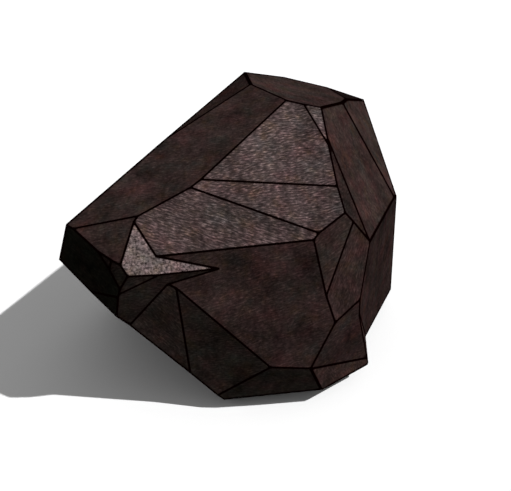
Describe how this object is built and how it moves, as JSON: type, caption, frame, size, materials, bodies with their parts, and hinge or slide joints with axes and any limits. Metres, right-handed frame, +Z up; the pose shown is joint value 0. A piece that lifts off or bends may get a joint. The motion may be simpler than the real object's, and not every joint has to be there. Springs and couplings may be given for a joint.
{
  "type": "boulder",
  "caption": "Angular boulder of dark brown-grey stone, broken into flat fracture facets, with a pale ledge and notch at its left end, lying on a broad flat bed.",
  "frame": {"origin": "on the ground under the middle of the boulder's box, level with the flat bed that it lies on", "axes": "+Z up, -Y to the front, which is the side with the ledge and the notch, +X to the right as seen from the front"},
  "size_m": [1.0676, 1.0316, 0.8638],
  "materials": {
    "stone": "dark, dry, fine-grained fracture surface with pale bleached grain on the upward facets and reddish-brown and grey-green mottles on the steep ones"
  },
  "bodies": {
    "root": {"boulder": "stone"}
  },
  "joints": []
}
